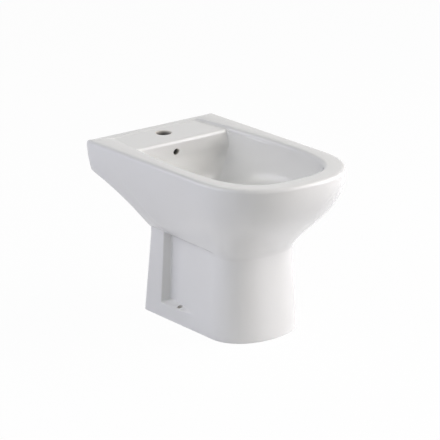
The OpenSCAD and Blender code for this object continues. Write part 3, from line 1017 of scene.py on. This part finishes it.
    def ceiling(self, u: float, t: float) -> Point:
        """The ceiling between the basin and the skin.

        Args:
            u: Station.
            t: Share of the way out.
        Returns:
            The point.
        """
        z = self.ceiling_z(u)
        a = self.basin_point(u, z, self.shell_t(u))
        b = self.skin(u, z, self.inner)
        return mix(a[0], b[0], t), mix(a[1], b[1], t), z

    def lining(self, u: float, t: float) -> Point:
        """The skin's inside, a share t of the way down to the pocket's roof."""
        z = mix(self.ceiling_z(u) - 5 * MM, self.neck_z + 44 * MM, t)
        return *self.skin(u, z, self.inner), z

    def shoulder(self, u: float, rise: float, opened: float) -> Point:
        """The skin's inside over the pocket's roof, rise above the neck."""
        z = self.neck_z + rise
        return *self.skin(u, z - 12 * MM, self.inner, opened, self.wall), z

    def cavity(self, u: float, z: float) -> Point:
        """The inside of the pedestal."""
        return *self.skin(u, z, self.wall, 1, self.wall), z

    # -- Points of the outside --

    def foot(self, u: float, a: float) -> Point:
        """The foot's rounded edge at angle a, 0 on the floor."""
        z = self.foot_edge_r * (1 - math.cos(a))
        return *self.skin(u, z, self.foot_edge_r * (1 - math.sin(a))), z

    def level(self, u: float, z: float) -> Point:
        """The pedestal's skin, with its pocket."""
        return *self.skin(u, z, 0, self.pocket_open(u, z)), z

    def roof(self, u: float, rise: float) -> Point:
        """The pedestal's skin near the pocket's roof, rise above it."""
        return self.level(u, self.pocket_top(u) + rise)

    def flange(self, u: float, t: float) -> Point:
        """The skin a share t of the way from just above the roof to the flange's top."""
        return self.level(u, mix(self.pocket_top(u) + 3 * MM, self.flange_top(u), t))

    def flare(self, u: float, t: float) -> Point:
        """The flare, a share t of the way up to the rim."""
        z = mix(self.flange_top(u), self.rim_side_z, t)
        return *self.skin(u, z), z

    def rim_fillet(self, u: float, a: float) -> Point:
        """The rim's outer fillet at angle a, 0 on its side."""
        z = self.rim_side_z + (self.rim_z(u) - self.rim_side_z) * math.sin(a)
        return *self.skin(u, self.rim_side_z, self.rim_outer_r * (1 - math.cos(a))), z

    # -- Points of the basin --

    def rim_step(self, u: float, a: float) -> Point:
        """The rim's inner fillet, which is a step down to the deck at the back.

        Args:
            u: Station.
            a: Angle, 0 on the rim's top.
        Returns:
            The point.
        """
        r, d = self.rim_inner_r, self.deck_share(u)
        g = mix(r * (1 - math.sin(a)), 0.8 * r * (1 - 2 * a / math.pi), d)
        fillet = self.rim_z(u) - r * (1 - math.cos(a))
        deck = mix(self.rim_z(u), self.deck_z, smooth(0, math.pi / 2, a))
        return *self.basin_edge(u, g), mix(fillet, deck, d)

    def lip(self, u: float, t: float, a: float) -> Point:
        """The deck's front lip, which goes on round the basin as its upper wall.

        Args:
            u: Station.
            t: Share of the way down the basin's upper wall.
            a: Angle of the lip, 0 on the deck.
        Returns:
            The point.
        """
        d = self.deck_share(u)
        top, low = self.basin_edge(u, 0), self.basin_point(u, self.lip_z)
        lip = self.lip_point(u, self.lip_r * (1 - math.sin(a)))
        x, y = (mix(mix(p, q, t), r, d) for p, q, r in zip(top, low, lip))
        z = mix(self.height - self.rim_inner_r, self.lip_z, t)
        return x, y, mix(z, self.deck_z - self.lip_r * (1 - math.cos(a)), d)

    def deck(self, u: float, t: float) -> Point:
        """The deck, a share t of the way from its border to its lip."""
        start, end = self.rim_step(u, math.pi / 2), self.lip(u, 1 / 9, 0)
        return tuple(mix(a, b, t) for a, b in zip(start, end))

    def basin(self, u: float, z: float) -> Point:
        """The basin's wall at a height."""
        return *self.basin_point(u, z), z

    def bottom(self, u: float, t: float) -> Point:
        """The basin's floor.

        Args:
            u: Station.
            t: Share of the way to the waste.
        Returns:
            The point.
        """
        z = self.basin_z(self.floor_angle)
        p = self.to_circle(self.basin_point(u, z), self.seat_r + 3 * MM, t)
        return *p, mix(z, self.floor_z, math.sin(math.pi / 2 * t))

    # -- Rings --

    def rings(self, rule: Rule, *values: Sequence, clay: Clay = Clay.GLAZED) -> list[Ring]:
        """Whole rings, each from a rule for half of it.

        Args:
            rule: Gives a point from a station and a value or values.
            values: For each value of the rule, what it is in every ring.
            clay: Finish of the rings.
        Returns:
            The rings.
        """
        made = []
        for value in zip(*values):
            half = [Vector(rule(u, *value)) for u in self.stations]
            half[0].x = half[-1].x = 0.0
            other = [Vector((-p.x, p.y, p.z)) for p in half[-2:0:-1]]
            made.append(Ring(half + other, clay))
        return made

    def hollow(self) -> list[Ring]:
        """The inside: the boss, the basin's underside, the ceiling and the skin's inside.

        Returns:
            Its rings, all of bare clay.
        """
        angles = (66, 60, 54, 48, 43, 38, 33, 28, 24, 19, 15)
        levels = (self.neck_z - 10 * MM, self.neck_z / 2, 4 * MM, 0.0)
        bare = {"clay": Clay.BARE}
        made = self.rings(self.boss, (0, 3 * MM, 5 * MM, 14 * MM), (0, 3 * MM, None, None), **bare)
        made += self.rings(self.under, angles, **bare)
        made += self.rings(self.under_top, (5 * MM,), **bare)
        made += self.rings(self.ceiling, (0.08, 0.92), **bare)
        made += self.rings(self.lining, [k / 10 for k in range(11)], **bare)
        made += self.rings(self.shoulder, (36 * MM, 27 * MM), (0.35, 1.0), **bare)
        return made + self.rings(self.cavity, levels, **bare)

    def outside(self) -> list[Ring]:
        """The outer skin, from the floor up and over the rim's outer fillet.

        Returns:
            Its rings.
        """
        edge = quarter(4)
        # The lowest rings' heights, with the pocket's floor at 33, then those above in mm.
        low = (8, 16, 24, 29, 32, *range(33, 42), 43, 46, 50, 56, 64)
        made = self.rings(self.foot, edge[:2], clay=Clay.BARE)
        made += self.rings(self.foot, edge[2:])
        made += self.rings(self.level, [z * self.pocket_floor / 33 for z in low])
        made += self.rings(self.level, [z * MM for z in (74, 88, 104, 122, 140, 156, 168, 178)])
        made += self.rings(self.roof, [z * MM for z in (-10, -7, -5, -3.5, -2, -1, 0, 1, 2, 3)])
        made += self.rings(self.flange, (0.3, 0.65, 1))
        made += self.rings(self.flare, [(k / 38) ** 1.15 for k in range(1, 39)])
        return made + self.rings(self.rim_fillet, quarter(9)[1:])

    def inside(self) -> list[Ring]:
        """The rim's inner fillet, the deck with its lip, and the basin.

        Returns:
            Its rings.
        """
        turn_z, fall = self.basin_z(self.wall_angle), self.floor_angle - self.wall_angle
        walls = [mix(self.lip_z, turn_z, (k / 16) ** 1.5) for k in range(1, 17)]
        walls += [self.basin_z(self.wall_angle + fall * k / 20) for k in range(1, 21)]
        made = self.rings(self.rim_step, quarter(9))
        made += self.rings(self.deck, (0.02, 0.06, 0.15, 0.3, 0.45, 0.6, 0.75, 0.88, 0.96))
        made += self.rings(self.lip, [k / 9 for k in range(1, 10)], quarter(8))
        made += self.rings(self.basin, walls)
        return made + self.rings(self.bottom, [k / 12 for k in range(1, 13)])

    def skinned(self) -> bpy.types.Object:
        """Extrudes the skin ring by ring and closes both ends.

        Returns:
            The uncut body.
        """
        rings = self.hollow() + self.outside() + self.inside()
        piece = Bench.outline("china_shell", rings[0].points, filled=False)
        count = len(rings[0].points)
        row = list(range(count))
        for ring in rings[1:]:
            bpy.ops.mesh.extrude_edges_move()
            mesh = bmesh.from_edit_mesh(piece.data)
            mesh.verts.index_update()
            mesh.verts.ensure_lookup_table()
            row = [self._next(mesh.verts[k]) for k in row]
            for k, point in zip(row, ring.points):
                mesh.verts[k].co = point
        bpy.ops.mesh.edge_face_add()
        bpy.ops.mesh.select_all(action="DESELECT")
        mesh = bmesh.from_edit_mesh(piece.data)
        mesh.verts.ensure_lookup_table()
        for k in range(count):
            mesh.verts[k].select = True
        mesh.select_flush(True)
        bpy.ops.mesh.edge_face_add()
        Bench.close(piece)
        bare = piece.data.attributes.new("bare", "FLOAT", "POINT")
        bare.data.foreach_set("value", [r.clay.value for r in rings for _ in range(count)])
        LOG.info("china skin: %d rings of %d corners", len(rings), count)
        return piece

    @staticmethod
    def _next(corner: bmesh.types.BMVert) -> int:
        """Index of the corner that was just extruded from this one."""
        return next(e.other_vert(corner).index for e in corner.link_edges
                    if e.other_vert(corner).select)

    # -- Holes --

    @staticmethod
    def mouth(r: float, edge: float, z: float, above: float) -> list[Plan]:
        """Profile of a round cutter where it leaves the clay, with a rounded edge.

        Args:
            r: Radius of the hole.
            edge: Radius of its edge.
            z: Height of the face that it opens in.
            above: How far the cutter stands out of the face.
        Returns:
            Radius and height of each step, upwards.
        """
        made = []
        for k in range(7):
            a = math.radians(80) * k / 6
            made.append((r + edge * (1 - math.cos(a)), z + edge * (math.sin(a) - 1)))
        return made + [(made[-1][0], z + above)]

    def flared(self, name: str, r: float, length: float, edge: float) -> bpy.types.Object:
        """A bore's cutter along Z, with its mouth at z = 0."""
        profile = [(r, -length * (6 - k) / 6) for k in range(6)]
        return Bench.turned(name, profile + self.mouth(r, edge, 0, 20 * MM))

    def seat(self) -> bpy.types.Object:
        """Makes the cutter of the drain and of the seat for the waste's flange.

        Returns:
            The cutter, about the waste's axis.
        """
        seat_z = self.seat_z
        profile = [(self.drain_r, self.boss_z - 1 * MM), (self.drain_r, seat_z - 1 * MM),
                   (self.drain_r + 1 * MM, seat_z), (self.seat_r, seat_z)]
        profile += self.mouth(self.seat_r, self.seat_edge_r, self.floor_z, 3 * MM)
        return Bench.turned("seat", profile)

    def duct(self) -> bpy.types.Object:
        """Makes the overflow's duct: down inside the clay, round the bend, level to the waste.

        Returns:
            The cutter.
        """
        bend_r = self.duct_bend * self.depth
        bend_y, bend_z = self.duct_wall_y - bend_r, self.floor_z + bend_r
        turn_r = bend_r + self.duct_depth
        top = self.overflow_z + 2 * MM
        Bench.deselect()
        bpy.ops.mesh.primitive_circle_add(
            vertices=32, radius=self.duct_r, fill_type="NGON",
            location=(self.overflow_x, bend_y + turn_r, top))
        piece = Bench.take("duct")
        Bench.settle(piece)
        bpy.ops.object.mode_set(mode="EDIT")
        bpy.ops.mesh.select_all(action="SELECT")
        bpy.ops.mesh.extrude_region_move(TRANSFORM_OT_translate={"value": (0, 0, bend_z - top)})
        bpy.ops.mesh.spin(steps=16, angle=math.pi / 2, center=(self.overflow_x, bend_y, bend_z),
                          axis=(1, 0, 0))
        bpy.ops.mesh.extrude_region_move(
            TRANSFORM_OT_translate={"value": (0, self.waste_y - bend_y, 0)})
        return Bench.close(piece)

    def service(self) -> bpy.types.Object:
        """Makes the cutter of the opening in the back of the pedestal.

        Returns:
            An arched prism, kept clear of the basin's underside.
        """
        w, h, r = self.opening_w / 2, self.opening_h, self.opening_r
        arch = [(w, -1 * MM)]
        arch += [(w - r + r * math.cos(a), h - r + r * math.sin(a)) for a in quarter(12)]
        arch += [(-x, z) for x, z in reversed(arch)]
        front = Bench.prism("arch", [Vector((x, self.half_l + 5 * MM, z)) for x, z in arch],
                            Vector((0, -self.half_l, 0)))
        slope = self.deck_front - 12 * MM
        side = [(0.7 * self.neck_back, -1 * MM), (0.85 * self.neck_back, 0.8 * self.neck_z),
                (0.885 * self.neck_back, self.neck_z + 30 * MM),
                (slope, self.neck_z + 55 * MM), (slope + 48 * MM, h + 1 * MM),
                (self.half_l + 2 * MM, h + 1 * MM), (self.half_l + 2 * MM, -1 * MM)]
        reach = Bench.prism("reach", [Vector((-w - 1 * MM, y, z)) for y, z in side],
                            Vector((2 * w + 2 * MM, 0, 0)))
        Bench.cut(front, reach, "INTERSECT")
        return front

    def tap_at(self) -> Vector:
        """Middle of the tap hole's mouth."""
        return Vector((0, self.half_l - self.tap_hole_back, self.deck_z))

    def overflow_at(self) -> Vector:
        """Middle of the overflow's mouth.

        Returns:
            Its place on the wall's face.
        """
        points = [self.basin_point(u, self.overflow_z) for u in self.stations if u <= 1]
        y = min(points, key=lambda p: abs(p[0] + self.overflow_x))[1]
        return Vector((self.overflow_x, y, self.overflow_z))

    def fixing_at(self, side: int, lift: float = 0) -> Vector:
        """Middle of the mouth of the left (-1) or right (1) floor fixing, lifted a little."""
        return Vector((side * self.fixing_x, self.fixing_y, self.pocket_floor + lift))

    def cut_holes(self, piece: bpy.types.Object) -> None:
        """Cuts the tap hole, the overflow, the waste's seat, the fixings and the opening.

        Args:
            piece: The uncut body.
        """
        tap = self.flared("tap_hole", self.tap_hole_r, self.tap_hole_l, self.tap_hole_edge_r)
        Bench.cut(piece, Bench.stand(tap, self.tap_at()))
        Bench.cut(piece, Bench.stand(self.seat(), Vector((0, self.waste_y, 0))))
        mouth = self.flared("overflow", self.overflow_r, self.overflow_l, self.overflow_edge_r)
        mouth = Bench.stand(mouth, self.overflow_at(), 90)
        Bench.cut(mouth, self.duct(), "UNION")
        Bench.cut(piece, mouth)
        for side in (-1, 1):
            fixing = self.flared("fixing", self.fixing_r, self.fixing_l, self.fixing_edge_r)
            Bench.cut(piece, Bench.stand(fixing, self.fixing_at(side, 0.4 * MM)))
        Bench.cut(piece, self.service())

    def paint_hole_shade(self, piece: bpy.types.Object) -> None:
        """Marks the share of painted shade of each corner, by how deep it lies in the tap hole, the
        overflow, its duct or a fixing.

        Args:
            piece: The cut body.
        """
        up, mouth = Vector((0, 0, 1)), self.overflow_at()
        holes = [Hole(self.tap_at(), up, self.tap_hole_r + 2.2 * MM, 0.2 * MM, 8 * MM),
                 Hole(mouth, Vector((0, -1, 0)), self.overflow_r + 1 * MM, 1 * MM, 10 * MM)]
        holes += [Hole(self.fixing_at(side), up, self.fixing_r + 0.5 * MM, 0, 3 * MM)
                  for side in (-1, 1)]
        duct_y = self.duct_wall_y + self.duct_depth
        shade_shares = []
        for corner in piece.data.vertices:
            x, y, z = corner.co
            near = math.hypot(x - self.overflow_x, y - duct_y) < self.duct_r + 0.2 * MM
            in_duct = near and self.floor_z < z < mouth.z + 4 * MM
            # Painted shade: full all along the duct, and growing with depth in the holes.
            shade_shares.append(1.0 if in_duct else max(hole.dark(corner.co) for hole in holes))
        piece.data.attributes.new("deep", "FLOAT", "POINT").data.foreach_set("value", shade_shares)

    def build(self) -> bpy.types.Object:
        """Makes the body, dresses it and puts it in the node's place.

        Returns:
            The finished piece.
        """
        piece = self.skinned()
        self.cut_holes(piece)
        # Paints shade deep in the holes.
        self.paint_hole_shade(piece)
        Bench.deselect()
        piece.select_set(True)
        bpy.context.view_layer.objects.active = piece
        bpy.ops.object.shade_smooth_by_angle(angle=math.radians(self.smooth_below))
        piece.data.materials.append(Glaze().material())
        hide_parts("china_body")
        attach(piece, "china")
        return piece


# ---- The waste --------------------------------------------------------------------------------


@dataclass
class Waste:
    """The waste, its seals and nut, and the latch with its plug, as the frame holds them.

    Attributes:
        nodes: Each node and its finish.
    """

    nodes: dict[str, Chrome | Moulded] = field(init=False)

    def __post_init__(self) -> None:
        """Gives each node its finish."""
        low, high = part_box("waste_body")[0].z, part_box("cone_seal")[0].z
        rubber = Moulded("rubber", (0.035, 0.035, 0.037, 1), 0.55, 0.0004, 0.00003)
        white = Moulded("white_plastic", (0.74, 0.74, 0.71, 1), 0.36)
        grey = Moulded("grey_plastic", (0.22, 0.23, 0.24, 1), 0.4)
        self.nodes = {
            "waste_body": Chrome("chrome_tail", thread=(low + 1 * MM, high + 4 * MM)),
            "flange_seal": rubber,
            "cone_seal": rubber,
            "slip_washer": white,
            "back_nut": Chrome("brass_nut", (0.72, 0.56, 0.31, 1), 0.24),
            "latch_housing": white,
            "latch_cap": grey,
            "latch_spring": Chrome("spring_steel", (0.56, 0.56, 0.55, 1), 0.22),
            "latch_rotor": grey,
            "plug_stem": Chrome("steel_stem", (0.62, 0.62, 0.61, 1), 0.2),
            "plug_carrier": grey,
            "plug_seal": rubber,
            "plug_cap": Chrome(),
        }

    def dress(self) -> None:
        """Puts every finish on its node."""
        made = {}
        for name, finish in self.nodes.items():
            if finish.name not in made:
                made[finish.name] = finish.material()
            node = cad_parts[name]
            for slot in node.material_slots:
                slot.material = made[finish.name]
            LOG.info("%s: %s", name, finish.name)


# ---- Studio -----------------------------------------------------------------------------------


@dataclass(frozen=True)
class Softbox:
    """A square lamp that faces the object.

    Attributes:
        name: Its name.
        azimuth: Its place round the object in degrees, 0 in front and 90 at +X.
        elevation: Its height above the horizon in degrees.
        power: Its power in watts.
        colour: Its colour.
    """

    name: str
    azimuth: float
    elevation: float
    power: float
    colour: Point


@dataclass
class Studio:
    """The floor, the surroundings, the lamps and the camera.

    Attributes:
        target: What the lamps face.
        camera_az: Azimuth of the camera in degrees.
        camera_el: Its elevation in degrees.
        camera_at: Its place.
        lens: Its focal length in millimetres.
        sensor: Width of its sensor in millimetres.
        lamp_far: Distance of the lamps in metres.
        lamp_side: Their side in metres.
        lamps: The lamps.
        floor_side: Side of the floor in metres.
        floor_pale: Colour of the floor in the light that falls on the object.
        floor_white: How much of the floor shows plain white instead of its shadow.
    """

    target: Point = (0, 0, 0.25)
    camera_az: float = -38.77
    camera_el: float = 18.36
    camera_at: Point = (-3.3177, -4.1074, 1.9882)
    lens: float = 201.36
    sensor: float = 36
    lamp_far: float = 3.6
    lamp_side: float = 2.8
    lamps: tuple[Softbox, ...] = (
        Softbox("key", 60, 35, 82, (1.0, 0.988, 0.934)),
        Softbox("low_key", 60, 8, 71, (0.882, 0.877, 1.0)),
        Softbox("front_key", 30, 35, 26, (1.0, 0.92, 0.915)),
        Softbox("front", -30, 35, 17, (1.0, 1.0, 0.865)),
        Softbox("side", -90, 35, 16, (0.633, 0.725, 1.0)),
        Softbox("back", -120, 35, 49.5, (1.0, 0.99, 0.921)),
        Softbox("low_back", -120, 8, 22.4, (0.668, 0.655, 1.0)),
    )
    floor_side: float = 40
    floor_pale: Colour = (0.86, 0.86, 0.86, 1)
    floor_white: float = 0.97

    def light(self) -> None:
        """Adds the lamps."""
        for box in self.lamps:
            data = bpy.data.lights.new(box.name, "AREA")
            data.shape = "SQUARE"
            data.size = self.lamp_side
            data.energy = box.power
            data.color = box.colour
            lamp = bpy.data.objects.new(box.name, data)
            away = direction(box.azimuth, box.elevation) * self.lamp_far
            lamp.location = Vector(self.target) + away
            way = Vector(self.target) - lamp.location
            lamp.rotation_euler = way.to_track_quat("-Z", "Y").to_euler()
            bpy.context.scene.collection.objects.link(lamp)

    @staticmethod
    def seen(s: Shader) -> Value:
        """1 for a ray that shows the background itself: from the camera, a gloss or glass."""
        rays = s.node("ShaderNodeLightPath", {}, {})
        return rays[0].top(rays[3]).top(rays[6])

    def surround(self) -> None:
        """Makes the world white where it shows and dark where it would light the object."""
        world = bpy.data.worlds.new("studio")
        bpy.context.scene.world = world
        world.use_nodes = True
        s = Shader(world.node_tree)
        colour = s.tint(self.seen(s), (0, 0, 0, 1), (1, 1, 1, 1))
        back = s.node("ShaderNodeBackground", {}, {"Color": colour, "Strength": 1.0})[0]
        s.node("ShaderNodeOutputWorld", {}, {"Surface": back})

    def floor(self) -> None:
        """Adds the pale floor, which shows white and keeps the object's shadow."""
        Bench.deselect()
        bpy.ops.mesh.primitive_plane_add(size=self.floor_side)
        floor = bpy.context.object
        floor.name = "floor"
        made, s = new_material("floor")
        pale = s.node("ShaderNodeBsdfDiffuse", {}, {"Color": self.floor_pale})[0]
        white = s.node("ShaderNodeEmission", {}, {"Color": (1, 1, 1, 1), "Strength": 1.0})[0]
        inputs = {0: self.floor_white * self.seen(s), 1: pale, 2: white}
        s.finish(s.node("ShaderNodeMixShader", {}, inputs)[0])
        floor.data.materials.append(made)

    def shoot(self) -> None:
        """Adds the camera at the photograph's place."""
        data = bpy.data.cameras.new("camera")
        data.sensor_width = self.sensor
        data.lens = self.lens
        camera = bpy.data.objects.new("camera", data)
        camera.location = self.camera_at
        back = direction(self.camera_az, self.camera_el)
        camera.rotation_euler = (-back).to_track_quat("-Z", "Y").to_euler()
        bpy.context.scene.collection.objects.link(camera)
        bpy.context.scene.camera = camera
        bpy.context.scene.view_settings.view_transform = "Standard"

    def build(self) -> None:
        """Sets up the whole studio."""
        self.shoot()
        self.surround()
        self.floor()
        self.light()
        LOG.info("studio: a floor, a camera and %d lamps", len(self.lamps))


def main() -> None:
    """Builds the object and its studio."""
    logging.basicConfig(level=logging.INFO, format="%(message)s")
    body = China().build()
    LOG.info("%s: %d faces", body.name, len(body.data.polygons))
    Waste().dress()
    Studio().build()


if __name__ == "__main__":
    main()
